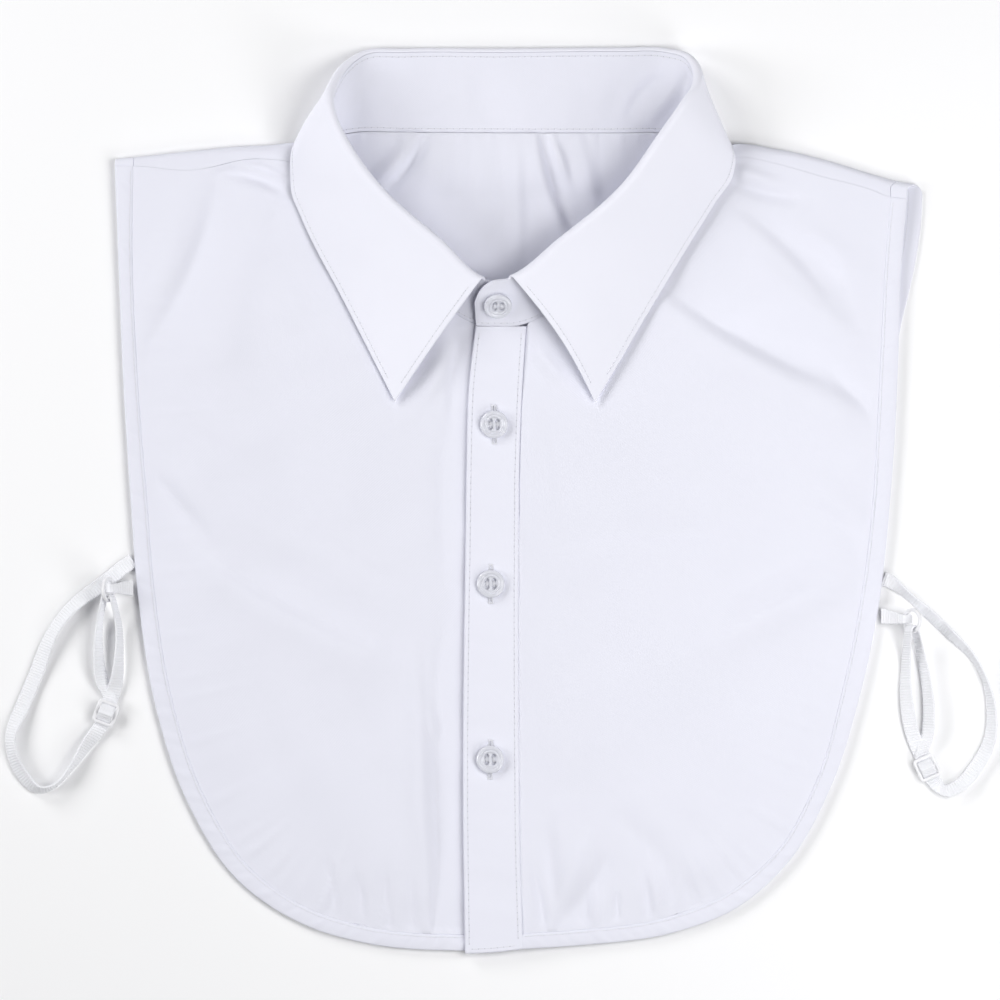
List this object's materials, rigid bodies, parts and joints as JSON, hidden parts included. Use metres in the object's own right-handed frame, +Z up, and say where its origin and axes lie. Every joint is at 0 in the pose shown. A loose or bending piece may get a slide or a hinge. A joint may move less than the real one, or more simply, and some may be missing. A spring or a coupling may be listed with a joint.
{
  "type": "detachable shirt collar",
  "caption": "Shirt collar on a short buttoned bib of two fronts and a back, lying flat, with an elastic strap at each side.",
  "frame": {"origin": "on the table under the middle of the whole, straps included", "axes": "+X to the viewer's right over the buttoned front, +Y towards the collar, +Z up from the table"},
  "size_m": [0.417, 0.3806, 0.027],
  "materials": {
    "cotton": "matt plain-woven white cotton",
    "elastic": "matt ribbed white elastic",
    "button_plastic": "clear, polished",
    "fitting_plastic": "white, smooth"
  },
  "bodies": {
    "root": {"front_left": "cotton", "front_right": "cotton", "placket": "cotton", "back": "cotton", "front_left_hem": "cotton", "front_right_hem": "cotton", "back_hem": "cotton", "collar_stand": "cotton", "collar_fall": "cotton", "button_1": "button_plastic", "button_2": "button_plastic", "button_3": "button_plastic", "button_4": "button_plastic", "tab_left": "elastic", "tab_right": "elastic", "strap_left": "elastic", "strap_right": "elastic", "ring_left": "fitting_plastic", "ring_right": "fitting_plastic", "slider_left": "fitting_plastic", "slider_right": "fitting_plastic"}
  },
  "joints": []
}
